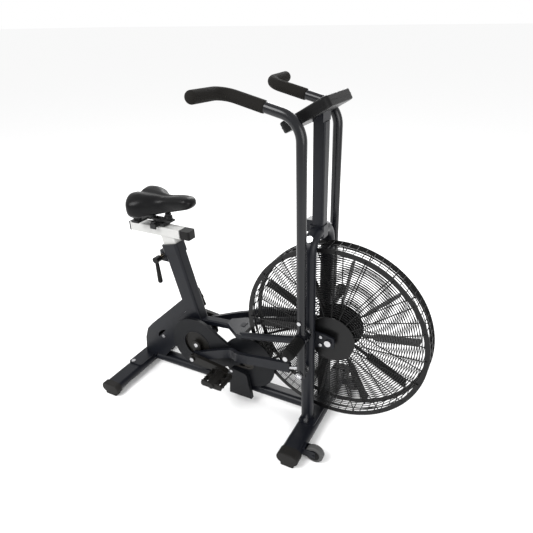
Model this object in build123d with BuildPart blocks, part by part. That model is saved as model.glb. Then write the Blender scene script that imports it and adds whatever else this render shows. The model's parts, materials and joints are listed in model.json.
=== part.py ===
from build123d import *
import os
from math import pi, sin, cos, radians, hypot, atan2

os.makedirs("parts", exist_ok=True)

# Driving dimensions, mm. X forward, Y to the rider's left, Z up, floor at Z = 0.
stab_width, stab_height, stab_z = 78.6, 41.0, 35.5
rear_x, rear_half = -609.0, 275.0
front_x, front_half = 247.0, 287.0
plate_top = 61.0
rail_z, rail_w, rail_h = 54.0, 60.0, 40.0
bb_x, bb_z = -281.0, 229.0
jack_x, jack_z = -40.0, 206.0
fan_x, fan_z = 311.0, 430.5
cage_r, hub_disc_r = 343.0, 89.0
leg_x, leg_y, leg_wide, leg_deep = 237.5, 80.5, 49.0, 37.0
mast_x = 239.0
pivot_x, pivot_z, arm_y = 238.0, 468.0, 140.0
arm_r, grip_r = 16.0, 18.5
seat_foot = Vector(-285.0, 0, 229.0)
seat_axis = Vector(-97.0, 0, 391.0).normalized()
post_w, post_d = 42.0, 64.0
slide_gap = 0.3
run_gap = 0.05
pitch = 12.7
chain_y, fan_chain_y = -52.0, 57.5
pin_x, pin_z = -278.0, 186.0
pedal_x, pedal_z = -127.0, 168.0
wheel_x, wheel_y, wheel_z, wheel_r = 327.0, 213.0, 34.0, 34.0
lever_x, lever_z = -446.0, 586.0


def side(y):
    """Plane at height y across the machine, local x forward and local y up; it extrudes towards -Y."""
    return Plane.XZ.offset(-y)


def save(part, name):
    part.label = name
    export_step(part, f"parts/{name}.step")


def plate(shape, y_low, y_high, mode=Mode.ADD):
    """Extrude an outline drawn on side(y_high) down to y_low."""
    extrude(shape, amount=y_high - y_low, mode=mode)


def disc(x, z, radius, y_low, y_high, mode=Mode.ADD):
    with BuildSketch(side(y_high)) as outline:
        with Locations((x, z)):
            Circle(radius)
    extrude(outline.sketch, amount=y_high - y_low, mode=mode)


def hull_outline(x1, z1, r1, x2, z2, r2, y):
    with BuildSketch(side(y)) as outline:
        with Locations((x1, z1)):
            Circle(r1)
        with Locations((x2, z2)):
            Circle(r2)
        make_hull()
    return outline.sketch


def tube(start, end, wide, deep, corner, wall, wide_dir=(0, 1, 0)):
    """Straight closed tube of rounded rectangular section, hollow inside."""
    line = Vector(*end) - Vector(*start)
    base = Plane(origin=start, x_dir=wide_dir, z_dir=line)
    with BuildSketch(base) as outer:
        RectangleRounded(wide, deep, corner)
    extrude(outer.sketch, amount=line.length)
    with BuildSketch(base.offset(wall)) as inner:
        RectangleRounded(wide - 2 * wall, deep - 2 * wall, max(corner - wall, 1))
    extrude(inner.sketch, amount=line.length - 2 * wall, mode=Mode.SUBTRACT)


def sprocket(teeth, bore, y_low, y_high, x, z, turn=0):
    """Roller-chain sprocket with simple straight-flanked teeth."""
    pitch_r = pitch / (2 * sin(pi / teeth))
    with BuildSketch(side(y_high)) as outline:
        with Locations((x, z)):
            Circle(pitch_r - 3)
            with PolarLocations(pitch_r - 0.5, teeth, start_angle=turn):
                Trapezoid(6, 6.4, 70, rotation=-90)
            Circle(bore, mode=Mode.SUBTRACT)
    extrude(outline.sketch, amount=y_high - y_low)


def chain(x1, z1, teeth1, x2, z2, teeth2, y):
    """Chain as two link-plate loops, with the rollers of its two straight runs."""
    r1 = pitch / (2 * sin(pi / teeth1))
    r2 = pitch / (2 * sin(pi / teeth2))
    for y_high in (y + 3.0, y - 1.6):
        extrude(hull_outline(x1, z1, r1 + 4, x2, z2, r2 + 4, y_high), amount=1.4)
        extrude(hull_outline(x1, z1, r1 - 4, x2, z2, r2 - 4, y_high), amount=1.4, mode=Mode.SUBTRACT)
    span = hypot(x2 - x1, z2 - z1)
    heading = atan2(z2 - z1, x2 - x1)
    lean = atan2(r1 - r2, (span ** 2 - (r1 - r2) ** 2) ** 0.5)
    run = (span ** 2 - (r1 - r2) ** 2) ** 0.5
    count = int(run / pitch) - 4
    for way in (1, -1):
        along = heading - way * lean
        nx, nz = -way * sin(along), way * cos(along)
        for i in range(count):
            s = (run - (count - 1) * pitch) / 2 + i * pitch
            px = x1 + r1 * nx + s * cos(along)
            pz = z1 + r1 * nz + s * sin(along)
            disc(px, pz, 3.4, y - 2.0, y + 2.0)


# ---------------------------------------------------------------- base
with BuildPart() as rear_stabilizer:
    with BuildSketch(side(rear_half - 26)):
        with Locations((rear_x, stab_z)):
            SlotOverall(stab_width, stab_height)
    extrude(amount=2 * (rear_half - 26))
    with BuildSketch(side(rear_half - 30)):
        with Locations((rear_x, stab_z)):
            SlotOverall(stab_width - 6, stab_height - 6)
    extrude(amount=2 * (rear_half - 30), mode=Mode.SUBTRACT)

with BuildPart() as front_stabilizer:
    with BuildSketch(side(front_half - 14)):
        with Locations((front_x, stab_z)):
            SlotOverall(stab_width, stab_height)
    extrude(amount=2 * (front_half - 14))
    with BuildSketch(side(front_half - 18)):
        with Locations((front_x, stab_z)):
            SlotOverall(stab_width - 6, stab_height - 6)
    extrude(amount=2 * (front_half - 18), mode=Mode.SUBTRACT)

with BuildPart() as rear_feet:
    with BuildSketch(side(-(rear_half - 26))):
        with Locations((rear_x, 34)):
            SlotOverall(90, 50)
        with Locations((rear_x, 12)):
            RectangleRounded(58, 24, 6)
    extrude(amount=26)
    fillet(rear_feet.faces().sort_by(Axis.Y)[0].edges(), 6)
    mirror(about=Plane.XZ)

with BuildPart() as front_caps:
    with BuildSketch(side(-(front_half - 40))):
        with Locations((front_x, stab_z)):
            SlotOverall(stab_width + 6, stab_height + 6)
        with Locations((front_x, 12)):
            RectangleRounded(52, 24, 6)
    extrude(amount=40)
    fillet(front_caps.faces().sort_by(Axis.Y)[0].edges(), 4)
    add(front_stabilizer.part, mode=Mode.SUBTRACT)
    with BuildSketch(side(-(front_half - 40))):
        with Locations((front_x, stab_z)):
            SlotOverall(stab_width, stab_height)
    extrude(amount=26, mode=Mode.SUBTRACT)
    mirror(about=Plane.XZ)

with BuildPart() as mount_plates:
    for plate_x in (-608.0, 246.0):
        with BuildSketch(Plane.XY.offset(56)):
            with Locations((plate_x, 0)):
                RectangleRounded(68, 236, 12)
        extrude(amount=plate_top - 56)

# ---------------------------------------------------------------- seat tube and rear frame
with BuildPart() as bottom_bracket:
    disc(bb_x, bb_z, 30, -45.5, 45.5)
    disc(bb_x, bb_z, 12 + run_gap, -45.5, 45.5, Mode.SUBTRACT)

tube_plane = Plane(origin=seat_foot, x_dir=(0, 1, 0), z_dir=seat_axis)

with BuildPart() as seat_tube:
    with BuildSketch(tube_plane):
        RectangleRounded(54, 70, 10)
    extrude(amount=394.6)
    with BuildSketch(tube_plane.offset(60)):
        RectangleRounded(post_w + 2 * slide_gap, post_d + 2 * slide_gap, 6)
    extrude(amount=340, mode=Mode.SUBTRACT)
    disc(bb_x, bb_z, 30, -45.5, 45.5, Mode.SUBTRACT)

with BuildPart() as seat_collar:
    with BuildSketch(tube_plane.offset(394.6)):
        RectangleRounded(62, 78, 12)
    extrude(amount=44)
    with Locations((-428, 0, 592)):
        Box(46, 28, 48)
    with BuildSketch(tube_plane.offset(380)):
        RectangleRounded(post_w + 2 * slide_gap, post_d + 2 * slide_gap, 6)
    extrude(amount=80, mode=Mode.SUBTRACT)
    with BuildSketch(tube_plane):
        RectangleRounded(54, 70, 10)
    extrude(amount=394.6, mode=Mode.SUBTRACT)
    disc(lever_x, lever_z, 5, -34, 14)
    disc(lever_x, lever_z, 9, -28, -14)

with BuildPart() as rear_upright:
    with BuildSketch(side(27)):
        with BuildLine():
            Polyline(
                (-610, plate_top), (-607, 99), (-599, 153), (-580, 205), (-548, 240), (-437, 341),
                (-350, 421), (-312, 390), (-403, 304), (-516, 201), (-534, 165), (-551, 99),
                (-554, plate_top), close=True,
            )
        make_face()
    extrude(amount=54)
    with BuildSketch(side(23)):
        with BuildLine():
            Polyline(
                (-606, 65), (-603, 99), (-595, 152), (-577, 203), (-545, 237), (-434, 337),
                (-355, 410), (-322, 386), (-406, 308), (-519, 204), (-538, 166), (-555, 99),
                (-558, 65), close=True,
            )
        make_face()
    extrude(amount=46, mode=Mode.SUBTRACT)
    add(seat_tube.part, mode=Mode.SUBTRACT)
    with BuildSketch(tube_plane.offset(60)):
        RectangleRounded(54, 70, 10)
    extrude(amount=340, mode=Mode.SUBTRACT)

with BuildPart() as rear_gusset:
    with BuildSketch(side(-21)):
        with BuildLine():
            Polyline(
                (-552.8, 76), (-551, 99), (-534, 165), (-516, 201), (-403, 304), (-330, 371),
                (-285, 300), (-290, 229), (-350, 165), (-440, 150), (-500, 76), close=True,
            )
        make_face()
        with BuildLine():
            Polyline((-522, 209), (-472, 228), (-521, 176), close=True)
        make_face(mode=Mode.SUBTRACT)
    extrude(amount=6)
    disc(bb_x, bb_z, 30, -45.5, 45.5, Mode.SUBTRACT)
    with BuildSketch(tube_plane.offset(-60)):
        RectangleRounded(54, 70, 10)
    extrude(amount=460, mode=Mode.SUBTRACT)
    mirror(about=Plane.XZ)

with BuildPart() as main_rail:
    with BuildSketch(Plane.YZ.offset(-600)):
        with Locations((0, rail_z)):
            SlotOverall(rail_w, rail_h)
    extrude(amount=830)
    with BuildSketch(Plane.YZ.offset(-548)):
        with Locations((0, rail_z)):
            SlotOverall(rail_w - 6, rail_h - 6)
    extrude(amount=734, mode=Mode.SUBTRACT)
    for cross_x in (rear_x, front_x):
        with BuildSketch(side(50)):
            with Locations((cross_x, stab_z)):
                SlotOverall(stab_width, stab_height)
        extrude(amount=100, mode=Mode.SUBTRACT)
    add(mount_plates.part, mode=Mode.SUBTRACT)
    with Locations((-606, 0, 73), (262, 0, 73)):
        Box(112, 70, 34, mode=Mode.SUBTRACT)

# ---------------------------------------------------------------- fork, mast and console
with BuildPart() as mast:
    with BuildSketch(Plane.XY.offset(795)):
        with Locations((leg_x, 0)):
            RectangleRounded(49, 48, 6)
    extrude(amount=43)
    with BuildSketch(Plane.XY.offset(838)):
        with Locations((mast_x, 0)):
            RectangleRounded(40, 42, 6)
    extrude(amount=327)
    with BuildSketch(Plane.XY.offset(842)):
        with Locations((mast_x, 0)):
            RectangleRounded(34, 36, 3)
    extrude(amount=319, mode=Mode.SUBTRACT)
    with Locations((208, 0, 832)):
        Box(22, 34, 42)

with BuildPart() as fork_leg_right:
    with BuildLine() as leg_path:
        Line((leg_x, -leg_y, plate_top), (leg_x, -leg_y, 753))
        ThreePointArc(
            (leg_x, -leg_y, 753),
            (leg_x, -18.5 - 62 * cos(pi / 4), 753 + 62 * sin(pi / 4)),
            (leg_x, -18.5, 815),
        )
    with BuildSketch(Plane.XY.offset(plate_top).shift_origin((leg_x, -leg_y, plate_top))):
        SlotOverall(leg_wide, leg_deep)
    sweep(path=leg_path.wires()[0])
    with BuildLine() as bore_path:
        Line((leg_x, -leg_y, plate_top + 4), (leg_x, -leg_y, 753))
        ThreePointArc(
            (leg_x, -leg_y, 753),
            (leg_x, -18.5 - 62 * cos(pi / 4), 753 + 62 * sin(pi / 4)),
            (leg_x, -18.5, 815),
        )
    with BuildSketch(Plane.XY.shift_origin((leg_x, -leg_y, 0)).offset(plate_top + 4)):
        SlotOverall(leg_wide - 6, leg_deep - 6)
    sweep(path=bore_path.wires()[0], mode=Mode.SUBTRACT)
    add(mast.part, mode=Mode.SUBTRACT)

with BuildPart() as fork_leg_left:
    mirror(fork_leg_right.part, about=Plane.XZ)

tilt = 30.5
console_plane = Plane(
    origin=(223, 0, 1193), x_dir=(0, 1, 0), z_dir=(-sin(radians(tilt)), 0, cos(radians(tilt)))
)
with BuildPart() as console:
    with BuildSketch(console_plane.offset(-17)):
        RectangleRounded(200, 170, 22)
    extrude(amount=34)
    fillet(console.faces().sort_by(Axis.Z)[-1].edges(), 5)
    with BuildSketch(console_plane.offset(15)):
        with Locations((0, 14)):
            RectangleRounded(140, 78, 6)
    extrude(amount=2, mode=Mode.SUBTRACT)

with BuildPart() as console_bracket:
    with Locations((mast_x, 0, 1190)):
        Box(34, 60, 50)
    with BuildSketch(console_plane.offset(-17)):
        RectangleRounded(220, 190, 22)
    extrude(amount=80, mode=Mode.SUBTRACT)

# ---------------------------------------------------------------- top tube and its two stays
with BuildPart() as upper_tube:
    tube((-300, 0, 316), (-70, 0, 338), 36, 26, 7, 3)
    with BuildSketch(Plane.XY.offset(327)):
        with BuildLine():
            Polyline((-150, -17), (-76, -67), (-52, -67), (-52, 67), (-76, 67), (-150, 17), close=True)
        make_face()
    extrude(amount=22)
    for way in (-1, 1):
        with BuildSketch(Plane(origin=(-62, way * 54, 337), z_dir=(267, way * 24, 73))):
            Circle(14)
        extrude(amount=284)
        with BuildSketch(Plane(origin=(-35.3, way * 56.4, 344.3), z_dir=(267, way * 24, 73))):
            Circle(11)
        extrude(amount=236, mode=Mode.SUBTRACT)
    with BuildSketch(tube_plane.offset(40)):
        RectangleRounded(54, 70, 10)
    extrude(amount=340, mode=Mode.SUBTRACT)
    for way in (-1, 1):
        with BuildSketch(Plane.XY.offset(340)):
            with Locations((leg_x, way * leg_y)):
                SlotOverall(leg_wide, leg_deep)
            with Locations((leg_x + 20, way * leg_y)):
                Rectangle(40, leg_deep)
        extrude(amount=140, mode=Mode.SUBTRACT)

# ---------------------------------------------------------------- pegs, fan axle and its brackets
with BuildPart() as pivot_axles:
    disc(pivot_x, pivot_z, 22, -104, -99)
    disc(pivot_x, pivot_z, 14, -117, -104)
    disc(pivot_x, pivot_z, 8, -262, -117)
    disc(pivot_x, pivot_z, 8.5, -266, -262)
    mirror(about=Plane.XZ)

with BuildPart() as foot_pegs:
    with BuildSketch(Plane.XY.offset(pivot_z)):
        with BuildLine():
            Polyline((pivot_x, -162), (pivot_x + 21, -162), (pivot_x + 19, -250), (pivot_x + 14, -262),
                     (pivot_x, -262), close=True)
        make_face()
    revolve(axis=Axis((pivot_x, 0, pivot_z), (0, 1, 0)))
    for ring in range(7):
        disc(pivot_x, pivot_z, 21.6, -179 - 10 * ring, -174 - 10 * ring)
    disc(pivot_x, pivot_z, 8, -262, -162, Mode.SUBTRACT)
    mirror(about=Plane.XZ)

with BuildPart() as axle_brackets:
    with BuildSketch(side(-66)):
        with BuildLine():
            Polyline((262, 398), (262, 463), (300, 458), (332, 450), (332, 411), (300, 403), close=True)
        make_face()
    extrude(amount=8)
    disc(fan_x, fan_z, 10, -80, -60, Mode.SUBTRACT)
    mirror(about=Plane.XZ)

with BuildPart() as fan_axle:
    disc(fan_x, fan_z, 10, -78, 78)
    disc(fan_x, fan_z, 12, -84, -78)
    disc(fan_x, fan_z, 12, 78, 84)

# ---------------------------------------------------------------- fan cage
spoke_in, spoke_out = 80.0, 334.0
spoke_y_in, spoke_y_out = 50.75, 39.5


def spoke_y(radius):
    return spoke_y_in + (radius - spoke_in) * (spoke_y_out - spoke_y_in) / (spoke_out - spoke_in)


with BuildPart() as cage_right:
    disc(fan_x, fan_z, hub_disc_r, -52.5, -49.5)
    for i in range(20):
        a = 2 * pi * i / 20
        start = Vector(fan_x + spoke_in * cos(a), -spoke_y_in, fan_z + spoke_in * sin(a))
        end = Vector(fan_x + spoke_out * cos(a), -spoke_y_out, fan_z + spoke_out * sin(a))
        with BuildSketch(Plane(origin=start, z_dir=end - start)):
            Circle(2)
        extrude(amount=(end - start).length)
    disc(fan_x, fan_z, 10, -60, -40, Mode.SUBTRACT)

with BuildPart() as cage_left:
    mirror(cage_right.part, about=Plane.XZ)
    disc(fan_x, fan_z, 19, 40, 60, Mode.SUBTRACT)

with BuildPart() as cage_wires:
    with BuildSketch(Plane.XY.offset(fan_z)):
        for i in range(27):
            ring_r = 97.0 + 8.5 * i
            ring_y = spoke_y(ring_r) - 3
            with Locations((fan_x + ring_r, -ring_y), (fan_x + ring_r, ring_y)):
                RegularPolygon(1.6, 8)
    revolve(axis=Axis((fan_x, 0, fan_z), (0, 1, 0)))

with BuildPart() as cage_rim:
    for low in (-37.5, 35.5):
        with BuildSketch(side(low + 2)):
            with Locations((fan_x, fan_z)):
                Circle(cage_r)
                Circle(325, mode=Mode.SUBTRACT)
        extrude(amount=2)
    with BuildSketch(side(1.5)):
        with Locations((fan_x, fan_z)):
            Circle(cage_r)
            Circle(cage_r - 4, mode=Mode.SUBTRACT)
    extrude(amount=3)
    with BuildSketch(side(35.5)):
        with Locations((fan_x, fan_z)):
            with PolarLocations(cage_r - 3, 72):
                Circle(1.6)
    extrude(amount=71)

# ---------------------------------------------------------------- guard, covers, jackshaft bearings
with BuildPart() as chain_guard:
    extrude(hull_outline(bb_x, bb_z, 122, -97, 216, 32, -48), amount=12)
    extrude(hull_outline(bb_x, bb_z, 119, -97, 216, 29, -48), amount=10, mode=Mode.SUBTRACT)
    extrude(hull_outline(bb_x, bb_z, 70, jack_x, jack_z, 36, -40), amount=18, mode=Mode.SUBTRACT)
    disc(bb_x, bb_z, 112, -48, -45.5)
    disc(bb_x, bb_z, 61, -61, -57, Mode.SUBTRACT)
    disc(bb_x, bb_z, 30, -48.5, -40, Mode.SUBTRACT)
    for post_deg in (110, 235):
        disc(bb_x + 100 * cos(radians(post_deg)), bb_z + 100 * sin(radians(post_deg)), 7, -58.5, -47)

with BuildPart() as bracket_cover:
    with BuildSketch(side(-50)):
        with BuildLine():
            Polyline((-130, 35), (-119, 160), (-112, 168), (-50, 158), (-41, 150), (-23, 35), close=True)
        make_face()
    extrude(amount=18)
    with BuildSketch(side(-50)):
        with BuildLine():
            Polyline((-127.8, 37), (-117, 159), (-111, 166), (-51, 156), (-43, 149), (-25.4, 37), close=True)
        make_face()
    extrude(amount=16, mode=Mode.SUBTRACT)
    with Locations((-76, -49, 58.5)):
        Box(60, 36, 43)
    add(main_rail.part, mode=Mode.SUBTRACT)

with BuildPart() as jackshaft_plates:
    with BuildSketch(side(-22)):
        with BuildLine():
            Polyline((-85, 60), (-75, 215), (-55, 238), (-25, 238), (-8, 215), (0, 60), close=True)
        make_face()
    extrude(amount=6)
    disc(jack_x, jack_z, 10 + run_gap, -30, -20, Mode.SUBTRACT)
    add(main_rail.part, mode=Mode.SUBTRACT)
    with Locations((-42, -25, 60)):
        Box(120, 20, 26, mode=Mode.SUBTRACT)
    mirror(about=Plane.XZ)

with BuildPart() as drive_chain:
    chain(bb_x, bb_z, 30, jack_x, jack_z, 12, chain_y)

with BuildPart() as fan_chain:
    chain(jack_x, jack_z, 30, fan_x, fan_z, 12, fan_chain_y)

with BuildPart() as wheel_brackets:
    with Locations((300, -(wheel_y - 15.5), 38), (300, -(wheel_y + 15.5), 38)):
        Box(66, 3, 30)
    with Locations((287, -wheel_y, 44)):
        Box(8, 34, 18)
    disc(wheel_x, wheel_z, 5, -(wheel_y + 19), -(wheel_y - 19))
    with BuildSketch(side(-150)):
        with Locations((front_x, stab_z)):
            SlotOverall(stab_width, stab_height)
    extrude(amount=100, mode=Mode.SUBTRACT)
    with Locations((247, -wheel_y, 38)):
        Box(60, 60, 60, mode=Mode.SUBTRACT)
    mirror(about=Plane.XZ)

with BuildPart() as frame_bolts:
    for bolt_x in (-620.0, 243.0):
        with Locations((bolt_x, -108, plate_top + 3)):
            Cylinder(9, 6)
    with Locations(Location((leg_x, -75.8, 810.3), (45, 0, 0))):
        Cylinder(12, 10)
    for screw_z in (447, 414):
        disc(283, screw_z, 6, -78, -74)
    add(fork_leg_right.part, mode=Mode.SUBTRACT)
    with BuildLine() as leg_fill:
        Line((leg_x, -leg_y, plate_top), (leg_x, -leg_y, 753))
        ThreePointArc(
            (leg_x, -leg_y, 753),
            (leg_x, -18.5 - 62 * cos(pi / 4), 753 + 62 * sin(pi / 4)),
            (leg_x, -18.5, 815),
        )
    with BuildSketch(Plane.XY.shift_origin((leg_x, -leg_y, 0)).offset(plate_top)):
        SlotOverall(leg_wide - 2, leg_deep - 2)
    sweep(path=leg_fill.wires()[0], mode=Mode.SUBTRACT)
    mirror(about=Plane.XZ)
    disc(-112, 154, 6, -71, -68)
    disc(-490, 190, 8, -31, -27)
    disc(-490, 190, 8, 27, 31)

# ---------------------------------------------------------------- cranks
with BuildPart() as crank_axle:
    disc(bb_x, bb_z, 12, -69, 69)
    for way in (-1, 1):
        far = way * (pin_x - bb_x) * -1
        up = way * (pin_z - bb_z) * -1
        low, high = (-69, -62) if way < 0 else (62, 69)
        plate(hull_outline(bb_x, bb_z, 21, bb_x + far, bb_z + up, 15, high), low, high)
        low, high = (-104, -62) if way < 0 else (62, 104)
        disc(bb_x + far, bb_z + up, 9, low, high)

with BuildPart() as chainring:
    sprocket(30, 12, chain_y - 1.2, chain_y + 1.2, bb_x, bb_z)
    disc(bb_x, bb_z, 20, chain_y + 1.2, -45.8)
    disc(bb_x, bb_z, 12, chain_y - 5, -40, Mode.SUBTRACT)

with BuildPart() as crank_arm_right:
    plate(hull_outline(pin_x, pin_z, 18, pedal_x, pedal_z, 15, -88), -104, -88)
    disc(pedal_x, pedal_z, 7, -193, -104)
    disc(pin_x, pin_z, 9, -104, -88, Mode.SUBTRACT)
    disc(pin_x, pin_z, 11, -109, -104)

with BuildPart() as crank_arm_left:
    add(crank_arm_right.part.rotate(Axis((bb_x, 0, bb_z), (0, 1, 0)), 180).mirror(Plane.XZ))

with BuildPart() as pedal_right:
    disc(pedal_x, pedal_z, 13, -198, -112)
    with Locations((pedal_x, -154, pedal_z)):
        Box(94, 82, 24)
    fillet(pedal_right.edges().filter_by(Axis.Y), 8)
    for slot_x in (-29, 29):
        with Locations((pedal_x + slot_x, -133, pedal_z), (pedal_x + slot_x, -174, pedal_z)):
            Box(20, 28, 30, mode=Mode.SUBTRACT)
    disc(pedal_x, pedal_z, 7 + run_gap, -193.3, -100, Mode.SUBTRACT)

left_pedal_at = Location((2 * bb_x - 2 * pedal_x, 0, 2 * bb_z - 2 * pedal_z))
with BuildPart() as pedal_left:
    turned = pedal_right.part.rotate(Axis((pedal_x, 0, pedal_z), (0, 1, 0)), 70)
    add(turned.mirror(Plane.XZ).moved(left_pedal_at))

# ---------------------------------------------------------------- push rods from the cranks to the arms
with BuildPart() as rod_right:
    with BuildSketch(side(-60)):
        with BuildLine():
            Spline((pin_x, pin_z + 18), (-190, 242), (-90, 279), (30, 306), (158, 324), (182, 327))
            Line((182, 327), (182, 287))
            Spline((182, 287), (158, 284), (30, 266), (-90, 239), (-190, 200), (pin_x, pin_z - 18))
            Line((pin_x, pin_z - 18), (pin_x, pin_z + 18))
        make_face()
        with Locations((pin_x, pin_z)):
            Circle(20)
    extrude(amount=80)
    with BuildSketch(Plane.XY.offset(100)):
        with BuildLine():
            Line((-310, -70), (-110, -70))
            Spline((-110, -70), (-62, -90), (0, -104), tangents=((1, 0), (1, -0.12)))
            Line((0, -104), (190, -107))
            Line((190, -107), (190, -122.5))
            Line((190, -122.5), (0, -119.5))
            Spline((0, -119.5), (-66, -106), (-110, -86), tangents=((-1, 0.12), (-1, 0)))
            Line((-110, -86), (-310, -86))
            Line((-310, -86), (-310, -70))
        make_face()
    extrude(amount=320, mode=Mode.INTERSECT)
    disc(pin_x, pin_z, 9 + run_gap, -100, -60, Mode.SUBTRACT)

with BuildPart() as rod_end_right:
    with BuildSketch(Plane(origin=(176, -116.5, 306.6), z_dir=(62, 0, 14.9))):
        Circle(6.3)
    extrude(amount=50)
    with Locations((172, -116.5, 307)):
        Box(20, 30, 50, mode=Mode.SUBTRACT)
    disc(pivot_x, 321.5, 17, -122, -112)
    disc(pivot_x, 321.5, 8, -123.2, -109)

half_turn = Location((2 * (bb_x - pin_x), 0, 2 * (bb_z - pin_z)))
with BuildPart() as rod_left:
    add(rod_right.part.mirror(Plane.XZ).moved(half_turn))

with BuildPart() as rod_end_left:
    add(rod_end_right.part.mirror(Plane.XZ).moved(half_turn))

# ---------------------------------------------------------------- swing arms
arm_top = (127, -arm_y, 1216.3)
with BuildPart() as handle_right:
    with BuildLine() as arm_path:
        FilletPolyline((pivot_x, -arm_y, 304), (pivot_x, -arm_y, 1189.4), arm_top, radius=78)
    with BuildSketch(Plane.XY.shift_origin((pivot_x, -arm_y, 0)).offset(304)):
        Circle(arm_r)
    sweep(path=arm_path.wires()[0])
    with BuildLine() as bar_path:
        FilletPolyline(arm_top, (-12, -arm_y, 1250), (-19, -268, 1252.7), radius=50)
    with BuildSketch(Plane(origin=arm_top, z_dir=(-139, 0, 33.7))):
        Circle(arm_r)
    sweep(path=bar_path.wires()[0])

with BuildPart() as grip_right:
    with BuildLine() as grip_path:
        FilletPolyline(arm_top, (-12, -arm_y, 1250), (-19, -277.5, 1253), radius=50)
    with BuildSketch(Plane(origin=arm_top, z_dir=(-139, 0, 33.7))):
        Circle(grip_r)
    sweep(path=grip_path.wires()[0])
    with Locations((-19, -277.5, 1253)):
        Sphere(grip_r)
    add(handle_right.part, mode=Mode.SUBTRACT)

with BuildPart() as arm_finish:
    add(handle_right.part)
    with BuildLine() as bore_line:
        FilletPolyline((pivot_x, -arm_y, 308), (pivot_x, -arm_y, 1189.4), arm_top, radius=78)
    with BuildSketch(Plane.XY.shift_origin((pivot_x, -arm_y, 0)).offset(308)):
        Circle(arm_r - 3)
    sweep(path=bore_line.wires()[0], mode=Mode.SUBTRACT)
    disc(pivot_x, pivot_z, 24, -160, -118)
    disc(pivot_x, pivot_z, 8 + run_gap, -170, -110, Mode.SUBTRACT)
    disc(pivot_x, 321.5, 13, -157, -124)
    disc(pivot_x, 540, 8, -157, -150)

with BuildPart() as arm_nut_right:
    disc(pivot_x, 321.5, 12, -165, -157)
    with Locations((pivot_x, -165, 321.5)):
        Sphere(9)
    disc(pivot_x, 321.5, 12, -164.9, -150, Mode.SUBTRACT)
    disc(pivot_x, 321.5, 12, -165, -157)
    disc(pivot_x, 540, 7, -162, -157)

with BuildPart() as handle_left:
    mirror(arm_finish.part, about=Plane.XZ)

with BuildPart() as grip_left:
    mirror(grip_right.part, about=Plane.XZ)

with BuildPart() as arm_nut_left:
    mirror(arm_nut_right.part, about=Plane.XZ)

# ---------------------------------------------------------------- fan and jackshaft
with BuildPart() as fan_rotor:
    disc(fan_x, fan_z, 32, -34, 34)
    disc(fan_x, fan_z, 17, 34, 56.3)
    for i in range(10):
        a = radians(360 * i / 10 + 8)
        blade = Plane(origin=(fan_x, 0, fan_z), x_dir=(cos(a), 0, sin(a)), z_dir=(-sin(a), 0, cos(a)))
        with BuildSketch(blade.offset(-1.2)):
            with BuildLine():
                Polyline(
                    (28, -8), (135, -8), (155, -22), (305, -22),
                    (305, 22), (155, 22), (135, 8), (28, 8), close=True,
                )
            make_face()
        extrude(amount=2.4)
    disc(fan_x, fan_z, 10 + run_gap, -60, 70, Mode.SUBTRACT)

with BuildPart() as fan_sprocket:
    sprocket(12, 10 + run_gap, fan_chain_y - 1.2, fan_chain_y + 1.2, fan_x, fan_z)

with BuildPart() as jackshaft:
    disc(jack_x, jack_z, 10, -58, 64)
    sprocket(12, 9, chain_y - 1.2, chain_y + 1.2, jack_x, jack_z)
    sprocket(30, 9, fan_chain_y - 1.2, fan_chain_y + 1.2, jack_x, jack_z)
    disc(jack_x, jack_z, 18, 29, fan_chain_y - 1.2)

with BuildPart() as jackshaft_disc:
    disc(jack_x, jack_z, 118, -47, -44.5)
    disc(jack_x, jack_z, 20, -44.5, -29)
    disc(jack_x, jack_z, 10, -48, -28, Mode.SUBTRACT)

# ---------------------------------------------------------------- seat
with BuildPart() as seat_post:
    with BuildSketch(tube_plane.offset(215)):
        RectangleRounded(post_w, post_d, 6)
    extrude(amount=270)
    with BuildSketch(tube_plane.offset(219)):
        RectangleRounded(post_w - 6, post_d - 6, 3)
    extrude(amount=240, mode=Mode.SUBTRACT)
    with Locations((-400, 0, 734)):
        Box(200, 80, 100, mode=Mode.SUBTRACT)

with BuildPart() as slider_tube:
    tube((-575, 0, 703.5), (-335, 0, 703.5), 50, 39, 5, 3)
    with Locations((-455, 0, 723)):
        Box(240, 28, 2.4, mode=Mode.SUBTRACT)

with BuildPart() as slider_caps:
    with Locations((-312.5, 0, 703.5)):
        Box(45, 46, 35)
    fillet(slider_caps.edges().filter_by(Axis.Z), 8)
    with Locations((-578.5, 0, 703.5)):
        Box(7, 48, 37)

with BuildPart() as saddle_carriage:
    with Locations((-440, 0, 730)):
        Box(64, 40, 13.4)
    with Locations((-440, 0, 741.5)):
        Cylinder(15, 12)
    with Locations((-452, 0, 747)):
        Box(150, 30, 8)
    with Locations((-505, 0, 747)):
        Box(34, 140, 8)
    with Locations((-505, -52, 759), (-505, 52, 759)):
        Cylinder(13, 17)
    with Locations((-395, 0, 763)):
        Cylinder(12, 25)
    with Locations((-440, -30, 730)):
        Box(22, 24, 8)
    with Locations((-440, -44, 730)):
        Box(26, 6, 20)

with BuildPart() as saddle:
    for level, shrink in ((768, 12), (785, 2), (826, 0), (844, 8), (854, 28)):
        with BuildSketch(Plane.XY.offset(level)):
            with BuildLine():
                Spline(
                    (-262 - shrink, 0), (-272 - shrink, 24 - shrink / 3), (-330, 36 - shrink / 3),
                    (-410, 58 - shrink / 2), (-465, 92 - shrink), (-503, 104 - shrink),
                    (-534 + shrink, 72 - shrink), (-541 + shrink, 0), (-534 + shrink, -72 + shrink),
                    (-503, -104 + shrink), (-465, -92 + shrink), (-410, -58 + shrink / 2),
                    (-330, -36 + shrink / 3), (-272 - shrink, -24 + shrink / 3), periodic=True,
                )
            make_face()
    loft(ruled=True)
    with BuildSketch(side(60)):
        with BuildLine():
            Polyline((-440, 768), (-250, 818), (-250, 760), (-440, 760), close=True)
        make_face()
    extrude(amount=120, mode=Mode.SUBTRACT)

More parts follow.
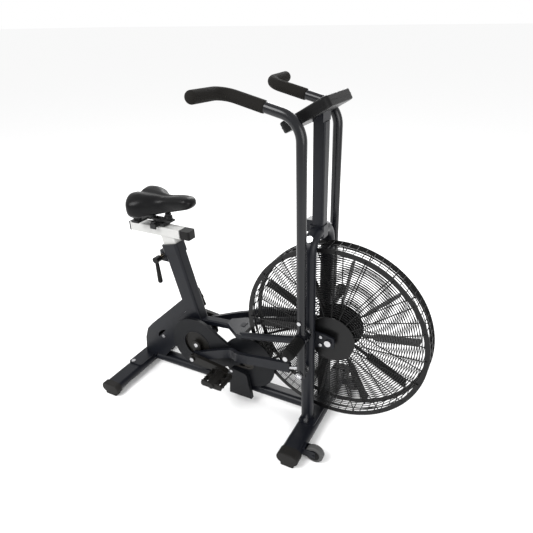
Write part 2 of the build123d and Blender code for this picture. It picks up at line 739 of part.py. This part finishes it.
with BuildPart() as seat_lever:
    disc(lever_x, lever_z, 13, -56, -28.5)
    disc(lever_x, lever_z, 5 + run_gap, -34.3, -28, Mode.SUBTRACT)
    with BuildSketch(Plane(origin=(lever_x, -47, lever_z - 4), z_dir=(8, -4, -96))):
        Circle(7.5)
    with BuildSketch(Plane(origin=(lever_x, -47, lever_z - 4), z_dir=(8, -4, -96)).offset(88)):
        Circle(10)
    loft()
    with Locations((-438.7, -50.7, 494)):
        Sphere(10)

# ---------------------------------------------------------------- transport wheels
with BuildPart() as wheel_right:
    disc(wheel_x, wheel_z, wheel_r, -(wheel_y + 12.5), -(wheel_y - 12.5))
    fillet(wheel_right.edges(), 5)
    disc(wheel_x, wheel_z, 22, -(wheel_y + 15), -(wheel_y + 9), Mode.SUBTRACT)
    disc(wheel_x, wheel_z, 22, -(wheel_y - 9), -(wheel_y - 15), Mode.SUBTRACT)
    disc(wheel_x, wheel_z, 12, -(wheel_y + 13.5), -(wheel_y - 13.5))
    disc(wheel_x, wheel_z, 5 + run_gap, -(wheel_y + 16), -(wheel_y - 16), Mode.SUBTRACT)

with BuildPart() as wheel_left:
    mirror(wheel_right.part, about=Plane.XZ)

save(main_rail.part, "main_rail")
save(mount_plates.part, "mount_plates")
save(rear_stabilizer.part, "rear_stabilizer")
save(front_stabilizer.part, "front_stabilizer")
save(rear_feet.part, "rear_feet")
save(front_caps.part, "front_caps")
save(rear_upright.part, "rear_upright")
save(rear_gusset.part, "rear_gusset")
save(seat_tube.part, "seat_tube")
save(seat_collar.part, "seat_collar")
save(upper_tube.part, "upper_tube")
save(bottom_bracket.part, "bottom_bracket")
save(fork_leg_right.part, "fork_leg_right")
save(fork_leg_left.part, "fork_leg_left")
save(mast.part, "mast")
save(console.part, "console")
save(console_bracket.part, "console_bracket")
save(pivot_axles.part, "pivot_axles")
save(foot_pegs.part, "foot_pegs")
save(fan_axle.part, "fan_axle")
save(axle_brackets.part, "axle_brackets")
save(cage_right.part, "cage_right")
save(cage_left.part, "cage_left")
save(cage_wires.part, "cage_wires")
save(cage_rim.part, "cage_rim")
save(chain_guard.part, "chain_guard")
save(bracket_cover.part, "bracket_cover")
save(jackshaft_plates.part, "jackshaft_plates")
save(drive_chain.part, "drive_chain")
save(fan_chain.part, "fan_chain")
save(wheel_brackets.part, "wheel_brackets")
save(frame_bolts.part, "frame_bolts")
save(crank_axle.part, "crank_axle")
save(chainring.part, "chainring")
save(crank_arm_right.part, "crank_arm_right")
save(crank_arm_left.part, "crank_arm_left")
save(pedal_right.part, "pedal_right")
save(pedal_left.part, "pedal_left")
save(rod_right.part, "rod_right")
save(rod_left.part, "rod_left")
save(rod_end_right.part, "rod_end_right")
save(rod_end_left.part, "rod_end_left")
save(arm_finish.part, "handle_right")
save(handle_left.part, "handle_left")
save(grip_right.part, "grip_right")
save(grip_left.part, "grip_left")
save(arm_nut_right.part, "arm_nut_right")
save(arm_nut_left.part, "arm_nut_left")
save(fan_rotor.part, "fan_rotor")
save(fan_sprocket.part, "fan_sprocket")
save(jackshaft.part, "jackshaft")
save(jackshaft_disc.part, "jackshaft_disc")
save(seat_post.part, "seat_post")
save(slider_tube.part, "slider_tube")
save(slider_caps.part, "slider_caps")
save(saddle_carriage.part, "saddle_carriage")
save(saddle.part, "saddle")
save(seat_lever.part, "seat_lever")
save(wheel_right.part, "wheel_right")
save(wheel_left.part, "wheel_left")
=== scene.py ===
import json
from math import cos, sin, pi, radians, sqrt, exp
import bpy
from mathutils import Matrix, Vector


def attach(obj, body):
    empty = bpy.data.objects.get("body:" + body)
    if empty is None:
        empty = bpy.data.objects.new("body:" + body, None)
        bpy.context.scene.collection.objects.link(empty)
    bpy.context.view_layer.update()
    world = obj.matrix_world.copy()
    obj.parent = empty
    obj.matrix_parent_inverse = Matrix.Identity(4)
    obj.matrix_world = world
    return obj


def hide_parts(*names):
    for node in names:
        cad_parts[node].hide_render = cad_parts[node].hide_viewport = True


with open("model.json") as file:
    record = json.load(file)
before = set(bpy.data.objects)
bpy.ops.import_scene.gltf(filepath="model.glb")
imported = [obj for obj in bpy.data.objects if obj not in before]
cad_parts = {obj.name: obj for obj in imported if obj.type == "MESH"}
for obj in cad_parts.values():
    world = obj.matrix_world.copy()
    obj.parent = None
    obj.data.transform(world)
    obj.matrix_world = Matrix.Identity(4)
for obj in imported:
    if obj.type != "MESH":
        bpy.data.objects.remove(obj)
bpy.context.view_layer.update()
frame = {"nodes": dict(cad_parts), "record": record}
nodes = frame["nodes"]
scene = bpy.context.scene
scene.view_settings.view_transform = "Standard"

# Places and sizes in metres, as in the CAD: X forward, Y to the rider's left, Z up.
SIDES = ((-1, "right"), (1, "left"))
SADDLE_NOSE_X, SADDLE_REAR_X = -0.262, -0.541
SPRINGS = ((-0.505, -0.052), (-0.505, 0.052), (-0.395, 0.0))
SPRING_RADIUS, SPRING_FOOT_Z, SPRING_HEIGHT, WIRE_RADIUS = 0.0145, 0.7530, 0.014, 0.0016
GRIP_CORNERS = ((0.127, 0.140, 1.2163), (-0.012, 0.140, 1.250), (-0.019, 0.2955, 1.253))
GRIP_BEND, GRIP_RADIUS = 0.050, 0.0187
CONSOLE_HEART, CONSOLE_TILT = Vector((0.223, 0, 1.193)), radians(30.5)
CRANK_X, CRANK_Z, CRANK_BODY_Y = -0.281, 0.229, 0.069
CRANK_PINS, PIN_END_Y = {-1: (-0.278, 0.186), 1: (-0.284, 0.272)}, 0.109
LEVER_BOSS = (-0.446, -0.0142, 0.586)
GUARD_FACE_Y, RECESS_RADIUS, LIP_RADIUS = -0.0602, 0.063, 0.0016
WHEEL_X, WHEEL_Y, WHEEL_Z, WHEEL_HALF = 0.327, 0.213, 0.034, 0.0134
PEDALS = (
    ("right", "pedal_right", Vector((-0.127, -0.154, 0.168)), 0.0),
    ("left", "pedal_left", Vector((-0.435, 0.154, 0.290)), 70.0),
)
STUD_COLUMNS = (-0.0430, -0.0140, 0.0140, 0.0430)
STUD_ROWS = (-0.037, -0.018, 0.0005, 0.019, 0.037)
PEDAL_TOP = 0.0118


# ---------------------------------------------------------------- materials
def surface(
    name, color, rough, metallic=0.0, bump=0.0, scale=400.0,
    second=None, coat=0.0, detail=4.0, shine=0.5,
):
    """Procedural finish: two close tones mixed by noise, uneven roughness and a fine bump."""
    mat = bpy.data.materials.new(name)
    mat.use_nodes = True
    tree = mat.node_tree
    shader = tree.nodes["Principled BSDF"]
    shader.inputs["Metallic"].default_value = metallic
    shader.inputs["Specular IOR Level"].default_value = shine
    shader.inputs["Coat Weight"].default_value = coat
    shader.inputs["Coat Roughness"].default_value = 0.12
    place = tree.nodes.new("ShaderNodeTexCoord")
    cloud = tree.nodes.new("ShaderNodeTexNoise")
    cloud.inputs["Scale"].default_value = 14.0
    cloud.inputs["Detail"].default_value = 5.0
    tree.links.new(place.outputs["Object"], cloud.inputs["Vector"])
    tone = tree.nodes.new("ShaderNodeValToRGB")
    tone.color_ramp.elements[0].position = 0.35
    tone.color_ramp.elements[1].position = 0.7
    tone.color_ramp.elements[0].color = (*color, 1)
    tone.color_ramp.elements[1].color = (*(second or [c * 1.25 for c in color]), 1)
    tree.links.new(cloud.outputs["Fac"], tone.inputs["Fac"])
    tree.links.new(tone.outputs["Color"], shader.inputs["Base Color"])
    gloss = tree.nodes.new("ShaderNodeMapRange")
    gloss.inputs["To Min"].default_value = rough * 0.85
    gloss.inputs["To Max"].default_value = min(rough * 1.15, 1.0)
    tree.links.new(cloud.outputs["Fac"], gloss.inputs["Value"])
    tree.links.new(gloss.outputs["Result"], shader.inputs["Roughness"])
    if bump:
        grain = tree.nodes.new("ShaderNodeTexNoise")
        grain.inputs["Scale"].default_value = scale
        grain.inputs["Detail"].default_value = detail
        tree.links.new(place.outputs["Object"], grain.inputs["Vector"])
        relief = tree.nodes.new("ShaderNodeBump")
        relief.inputs["Strength"].default_value = bump
        relief.inputs["Distance"].default_value = 0.001
        tree.links.new(grain.outputs["Fac"], relief.inputs["Height"])
        tree.links.new(relief.outputs["Normal"], shader.inputs["Normal"])
    return mat


# finish: colour, roughness and what else surface() takes
LOOKS = {
    "frame_black": ((0.0042, 0.0048, 0.0070), 0.34, dict(bump=0.10, scale=900, shine=0.20)),
    "cap_rubber": ((0.008, 0.0075, 0.007), 0.6, dict(bump=0.2, scale=700, shine=0.15)),
    "peg_rubber": ((0.003, 0.003, 0.003), 0.6, dict(bump=0.25, scale=700, shine=0.12)),
    "bright_steel": ((0.40, 0.40, 0.41), 0.26, dict(metallic=1.0, bump=0.05, scale=600)),
    "chain_steel": ((0.03, 0.028, 0.026), 0.4, dict(metallic=1.0, bump=0.15, scale=500)),
    "cage_wire": ((0.003, 0.003, 0.0032), 0.3, dict(shine=0.22)),
    "fan_black": ((0.003, 0.003, 0.0032), 0.4, dict(bump=0.05, scale=300, shine=0.12)),
    "cover_black": ((0.0036, 0.0040, 0.0050), 0.42, dict(bump=0.15, scale=800, shine=0.14)),
    "console_plastic": ((0.003, 0.003, 0.0032), 0.4, dict(bump=0.15, scale=900, shine=0.14)),
    "crank_dark": ((0.0065, 0.0060, 0.0053), 0.42, dict(bump=0.08, scale=500, shine=0.16)),
    "pedal_plastic": ((0.0050, 0.0046, 0.0040), 0.5, dict(bump=0.2, scale=700, shine=0.15)),
    "post_white": (
        (0.40, 0.40, 0.39), 0.35, dict(second=(0.43, 0.43, 0.42), bump=0.05, scale=800),
    ),
    "saddle_leather": (
        (0.003, 0.003, 0.0033), 0.3, dict(bump=0.3, scale=420, coat=0.02, shine=0.12),
    ),
    "carriage_steel": ((0.015, 0.015, 0.0155), 0.4, dict(metallic=0.3, bump=0.08, shine=0.2)),
    "grip_foam": (
        (0.0070, 0.0064, 0.0057), 0.85, dict(bump=0.6, scale=1100, detail=6, shine=0.12),
    ),
    "handle_black": ((0.0028, 0.0031, 0.0043), 0.22, dict(coat=0.08, shine=0.28)),
    "lever_plastic": ((0.003, 0.003, 0.003), 0.4, dict(bump=0.1, shine=0.15)),
    "wheel_tyre": ((0.05, 0.05, 0.05), 0.6, dict(bump=0.2, scale=600, shine=0.2)),
    "brass": ((0.70, 0.58, 0.40), 0.3, dict(metallic=1.0, bump=0.05)),
    "screen_glass": ((0.004, 0.005, 0.006), 0.08, dict(coat=0.8)),
}
finish = {name: surface(name, color, rough, **more) for name, (color, rough, more) in LOOKS.items()}
slot_of = {s["node"]: s["material_slot"] for s in frame["record"]["subparts"]}
for name, node in nodes.items():
    node.data.materials.clear()
    node.data.materials.append(finish[slot_of[name]])


# ---------------------------------------------------------------- mesh helpers
def shade_smooth(mesh):
    mesh.polygons.foreach_set("use_smooth", [True] * len(mesh.polygons))


def loose_mesh(name, verts, faces, slot):
    mesh = bpy.data.meshes.new(name)
    mesh.from_pydata(verts, [], faces)
    mesh.validate()
    mesh.update()
    obj = bpy.data.objects.new(name, mesh)
    scene.collection.objects.link(obj)
    mesh.materials.append(finish[slot])
    return obj


def add_mesh(name, verts, faces, slot, body):
    """Piece that rides on a body, shaded smooth across its gentle edges only."""
    obj = loose_mesh(name, verts, faces, slot)
    shade_smooth(obj.data)
    obj.data.set_sharp_from_angle(angle=radians(35))
    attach(obj, body)
    return obj


def bake(obj):
    """Make the object's modifiers permanent."""
    graph = bpy.context.evaluated_depsgraph_get()
    mesh = bpy.data.meshes.new_from_object(obj.evaluated_get(graph))
    obj.modifiers.clear()
    obj.data = mesh


def plump(obj, pinned_below, cap, voxel=0.005, pressure=4.0):
    """Cover pressed out from within as cloth, held low down, with the movement capped."""
    remesh = obj.modifiers.new("remesh", "REMESH")
    remesh.mode = "VOXEL"
    remesh.voxel_size = voxel
    bake(obj)
    rest = [v.co.copy() for v in obj.data.vertices]
    held = obj.vertex_groups.new(name="held")
    held.add([i for i, co in enumerate(rest) if co.z < pinned_below], 1.0, "REPLACE")
    cloth = obj.modifiers.new("cloth", "CLOTH")
    cloth.settings.quality = 6
    cloth.settings.mass = 0.4
    cloth.settings.tension_stiffness = 20
    cloth.settings.compression_stiffness = 20
    cloth.settings.bending_stiffness = 2
    cloth.settings.use_pressure = True
    cloth.settings.uniform_pressure_force = pressure
    cloth.settings.vertex_group_mass = "held"
    cloth.settings.effector_weights.gravity = 0
    for step in range(1, 21):
        scene.frame_set(step)
    graph = bpy.context.evaluated_depsgraph_get()
    moved = [v.co.copy() for v in obj.evaluated_get(graph).data.vertices]
    obj.modifiers.clear()
    obj.vertex_groups.clear()
    scene.frame_set(1)
    for v, old, new in zip(obj.data.vertices, rest, moved):
        shift = new - old
        if shift.length > cap:
            shift *= cap / shift.length
        v.co = old + shift
    round_off = obj.modifiers.new("round_off", "SMOOTH")
    round_off.factor = 0.5
    round_off.iterations = 3
    finer = obj.modifiers.new("finer", "SUBSURF")
    finer.levels = 1
    finer.render_levels = 1
    bake(obj)
    shade_smooth(obj.data)


def ring_skin(rings, around):
    """Faces of a tube whose points lie in rings, open at both ends."""
    faces = []
    for k in range(rings - 1):
        low, high = k * around, (k + 1) * around
        for i in range(around):
            j = (i + 1) % around
            faces.append((low + i, low + j, high + j, high + i))
    return faces


def capped_skin(rings, around):
    """Faces of a tube whose points lie in rings, closed at both ends."""
    faces = ring_skin(rings, around)
    faces.append(tuple(reversed(range(around))))
    faces.append(tuple((rings - 1) * around + i for i in range(around)))
    return faces


def lathe(name, centre, axis, profile, slot, body, count):
    """Turned piece: profile is (distance along axis, radius)."""
    axis = Vector(axis).normalized()
    u = axis.orthogonal().normalized()
    v = axis.cross(u)
    verts = []
    for along, radius in profile:
        for i in range(count):
            a = 2 * pi * i / count
            verts.append(Vector(centre) + axis * along + (u * cos(a) + v * sin(a)) * radius)
    return add_mesh(name, verts, capped_skin(len(profile), count), slot, body)


def rounded_path(corners, radius, steps=10):
    """Points along straight lines joined by arcs."""
    corners = [Vector(c) for c in corners]
    points = [corners[0]]
    for a, b, c in zip(corners, corners[1:], corners[2:]):
        into, out = (b - a).normalized(), (c - b).normalized()
        bend = into.angle(out)
        reach = radius * sin(bend / 2) / cos(bend / 2)
        start = b - into * reach
        inward = (out - into * out.dot(into)).normalized()
        for k in range(steps + 1):
            t = bend * k / steps
            points.append(start + into * radius * sin(t) + inward * radius * (1 - cos(t)))
    points.append(corners[-1])
    return points


def spaced(points, gap):
    """The same path with points at an even spacing."""
    out = [points[0]]
    for a, b in zip(points, points[1:]):
        count = max(int((b - a).length / gap), 1)
        out += [a + (b - a) * k / count for k in range(1, count + 1)]
    return out


def swept(points, radius_at, around=32):
    """Round tube mesh; radius_at takes the share of the way along and the distance run."""
    lengths = [0.0]
    for a, b in zip(points, points[1:]):
        lengths.append(lengths[-1] + (b - a).length)
    normal = (points[1] - points[0]).orthogonal().normalized()
    verts = []
    for k, p in enumerate(points):
        ahead = points[min(k + 1, len(points) - 1)]
        behind = points[max(k - 1, 0)]
        along = (ahead - behind).normalized()
        normal = (normal - along * normal.dot(along)).normalized()
        other = along.cross(normal)
        radius = radius_at(lengths[k] / lengths[-1], lengths[k])
        for i in range(around):
            a = 2 * pi * i / around
            verts.append(p + (normal * cos(a) + other * sin(a)) * radius)
    return verts, capped_skin(len(points), around)


def ramp(value, start, length):
    """0 up to start, 1 from start + length, straight between."""
    return min(max((value - start) / length, 0), 1)


def quarter_round(share):
    """Height of a quarter circle at this share of its radius, and 1 beyond it."""
    return sqrt(max(1 - (1 - min(share, 1)) ** 2, 0))


# ---------------------------------------------------------------- saddle
def width_at(t):
    """Half width of the saddle, t from 0 at the nose to 1 at the rear."""
    nose = 0.036 * quarter_round(t / 0.12)
    flare = 0.072 / (1 + exp(-(t - 0.62) * 14))
    tail = sqrt(max(1 - max((t - 0.80) / 0.20, 0) ** 2.4, 0))
    return (nose + flare) * tail


def crown_at(t):
    """Height of the saddle's top, with a dip at its waist and a raised nose."""
    waist = exp(-((t - 0.50) / 0.15) ** 2)
    nose = exp(-((t - 0.18) / 0.18) ** 2)
    return 0.850 - 0.004 * waist + 0.005 * nose


def saddle_mesh():
    verts = []
    stations, around = 60, 52
    for i in range(stations + 1):
        t = 0.5 - 0.5 * cos(pi * i / stations)
        t = min(max(t, 0.0015), 0.9985)
        x = SADDLE_NOSE_X + (SADDLE_REAR_X - SADDLE_NOSE_X) * t
        wide = max(width_at(t), 0.004)
        top = crown_at(t)
        lift = quarter_round(min(t, 1 - t) / 0.09)
        under = 0.771 + max(x + 0.440, 0) / 0.178 * 0.043
        middle = under + (top - under) * 0.48
        for j in range(around):
            a = 2 * pi * j / around
            cy, sz = cos(a), sin(a)
            y = wide * abs(cy) ** 0.75 * (1 if cy >= 0 else -1)
            if sz >= 0:
                z = middle + (top - middle) * lift * sz ** 0.68
                channel = exp(-(y / 0.010) ** 2)
                z -= 0.006 * channel * lift * ramp(t, 0.2, 0.2)
                lobe = exp(-((abs(y) - 0.055) / 0.030) ** 2)
                z += 0.009 * lobe * ramp(t, 0.5, 0.3) * lift
            else:
                z = middle - (middle - under) * lift * (-sz) ** 0.6
                skirt = ramp(abs(y), 0.068, 0.012) * ramp(t, 0.55, 0.15)
                z -= 0.013 * skirt * lift * (-sz) ** 0.6
            verts.append((x, y, z))
    faces = ring_skin(stations + 1, around)
    faces.append(tuple(range(around)))
    faces.append(tuple(stations * around + j for j in reversed(range(around))))
    return verts, faces


saddle = loose_mesh("saddle_cover", *saddle_mesh(), "saddle_leather")
plump(saddle, 0.790, 0.003)
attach(saddle, "saddle")
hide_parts("saddle")


# ---------------------------------------------------------------- grips and springs
def foam_radius(share, run):
    """Radius of a grip, a little less where it starts and rounded off where it ends."""
    total = run / share if share > 0 else 1.0
    start = min(run / 0.004, 1.0)
    end = quarter_round((total - run) / 0.017)
    return max((GRIP_RADIUS - 0.0018 * (1 - start)) * max(end, 0.05), 0.001)


for way, word in SIDES:
    line = rounded_path([(x, way * y, z) for x, y, z in GRIP_CORNERS], GRIP_BEND)
    line = spaced(line, 0.003)
    grip = loose_mesh("grip_foam_" + word, *swept(line, foam_radius), "grip_foam")
    shade_smooth(grip.data)
    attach(grip, "arm_" + word)
    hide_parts("grip_" + word)

# coil springs round the saddle's posts
for number, (x, y) in enumerate(SPRINGS):
    coil = [
        Vector((
            x + SPRING_RADIUS * cos(t * 0.35),
            y + SPRING_RADIUS * sin(t * 0.35),
            SPRING_FOOT_Z + SPRING_HEIGHT * t / 70,
        ))
        for t in range(71)
    ]
    wire = swept(coil, lambda share, run: WIRE_RADIUS, 8)
    add_mesh(f"coil_{number}", *wire, "carriage_steel", "saddle")

# ---------------------------------------------------------------- console
fore = Vector((cos(CONSOLE_TILT), 0, sin(CONSOLE_TILT)))
face = Vector((-sin(CONSOLE_TILT), 0, cos(CONSOLE_TILT)))
across = Vector((0, 1, 0))


def slab(name, wide, deep, corner, low, high, slot, body, shift=0.0):
    """Rounded slab parallel to the console's face."""
    rim = []
    for sx, sy, start in ((1, 1, 0), (-1, 1, 90), (-1, -1, 180), (1, -1, 270)):
        for k in range(9):
            a = radians(start + 90 * k / 8)
            u = sx * (wide / 2 - corner) + corner * cos(a)
            v = sy * (deep / 2 - corner) + corner * sin(a)
            rim.append((u, v))
    verts = [
        CONSOLE_HEART + face * h + across * u + fore * (v + shift)
        for h in (low, high) for u, v in rim
    ]
    return add_mesh(name, verts, capped_skin(2, len(rim)), slot, body)


slab("console_trim", 0.2016, 0.1716, 0.022, -0.0015, 0.0015, "console_plastic", "frame")
screen = slab(
    "console_screen", 0.118, 0.052, 0.004, 0.0148, 0.0156, "console_plastic", "frame", 0.022
)
screen.data.materials[0] = finish["screen_glass"]
key_profile = ((0, 0.0085), (0.0012, 0.0085), (0.0018, 0.0075))
for k in range(4):
    spot = CONSOLE_HEART + face * 0.0150 + fore * -0.012 + Vector((0, 0.045 - 0.030 * k, 0))
    lathe(f"console_key_{k}", spot, face, key_profile, "carriage_steel", "frame", 32)

# ---------------------------------------------------------------- crank, lever and guard
flat_cap = ((0, 0.0095), (0.0004, 0.0095), (0.0007, 0.0085))
domed_cap = ((0, 0.0095), (0.003, 0.0095), (0.0045, 0.007))
for way, (pin_x, pin_z) in CRANK_PINS.items():
    for name, spot, profile in (
        ("spindle_cap", (CRANK_X, way * CRANK_BODY_Y, CRANK_Z), flat_cap),
        ("pin_cap", (pin_x, way * PIN_END_Y, pin_z), domed_cap),
    ):
        lathe(f"{name}_{way + 1}", spot, (0, way, 0), profile, "bright_steel", "crank", 32)

boss_profile = ((0, 0.0098), (0.0136, 0.0098))
boss = lathe("lever_boss", LEVER_BOSS, (0, -1, 0), boss_profile, "bright_steel", "frame", 6)
boss.data.materials[0] = finish["brass"]

lip = [
    Vector((
        CRANK_X + RECESS_RADIUS * cos(t * pi / 60),
        GUARD_FACE_Y,
        CRANK_Z + RECESS_RADIUS * sin(t * pi / 60),
    ))
    for t in range(121)
]
add_mesh("guard_lip", *swept(lip, lambda share, run: LIP_RADIUS, 10), "cover_black", "frame")

# ---------------------------------------------------------------- wheels and pedals
hub_profile = ((0, 0.0215), (0.0008, 0.0215), (0.0010, 0.006))
for way, word in SIDES:
    for out in (-1, 1):
        name = f"wheel_hub_{word}_{out + 1}"
        spot = (WHEEL_X, way * WHEEL_Y + out * WHEEL_HALF, WHEEL_Z)
        hub = lathe(name, spot, (0, out, 0), hub_profile, "wheel_tyre", "wheel_" + word, 32)
        hub.data.materials[0] = finish["peg_rubber"]

stud_profile = ((0, 0.0028), (0.0016, 0.0020))
for word, body, centre, turn in PEDALS:
    spin = Matrix.Rotation(radians(turn), 3, "Y")
    for top in (-1, 1):
        outward = spin @ Vector((0, 0, top))
        for u in STUD_COLUMNS:
            for v in STUD_ROWS:
                name = f"stud_{word}_{top + 1}_{int(u * 1000)}_{int(v * 1000)}".replace("-", "m")
                spot = centre + spin @ Vector((u, v, top * PEDAL_TOP))
                lathe(name, spot, outward, stud_profile, "pedal_plastic", body, 8)

# ---------------------------------------------------------------- floor, light and camera
pale, paler = (0.94, 0.94, 0.94), (0.95, 0.95, 0.95)
bpy.ops.mesh.primitive_plane_add(size=400, location=(0, 0, 0))
floor = bpy.context.object
floor.name = "floor"
floor.data.materials.append(surface("floor_pale", pale, 0.9, second=paler, shine=0.0))

world = bpy.data.worlds.new("studio")
scene.world = world
world.use_nodes = True
world.node_tree.nodes["Background"].inputs["Color"].default_value = (1, 1, 1, 1)
world.node_tree.nodes["Background"].inputs["Strength"].default_value = 1.0


def lamp(name, place, target, size, watts):
    data = bpy.data.lights.new(name, "AREA")
    data.shape = "DISK"
    data.size = size
    data.energy = watts
    obj = bpy.data.objects.new(name, data)
    scene.collection.objects.link(obj)
    obj.location = place
    obj.rotation_euler = (Vector(target) - Vector(place)).to_track_quat("-Z", "Y").to_euler()
    return obj


key = lamp("key", (-1.2, -2.6, 3.4), (0, 0, 0.5), 2.2, 130)
fill = lamp("fill", (3.0, -1.4, 1.6), (0.2, 0, 0.6), 2.5, 60)
back = lamp("back", (-1.0, 3.0, 2.6), (0, 0, 0.7), 2.0, 70)

# the camera looks down at the machine from its front right, rolled by under a degree
look = Vector((-0.3933, 0.7913, -0.4683)).normalized()
level = look.cross(Vector((0, 0, 1))).normalized()
upward = level.cross(look).normalized()
roll = radians(-0.709)
right = cos(roll) * level + sin(roll) * upward
up = cos(roll) * upward - sin(roll) * level
lens = bpy.data.cameras.new("camera")
lens.lens = 32.28
lens.sensor_width = 36.0
lens.shift_x = -0.0419
lens.shift_y = 0.0158
camera = bpy.data.objects.new("camera", lens)
scene.collection.objects.link(camera)
turn = Matrix((right, up, -look)).transposed().to_4x4()
camera.matrix_world = Matrix.Translation((0.7988, -1.3584, 1.4257)) @ turn
scene.camera = camera
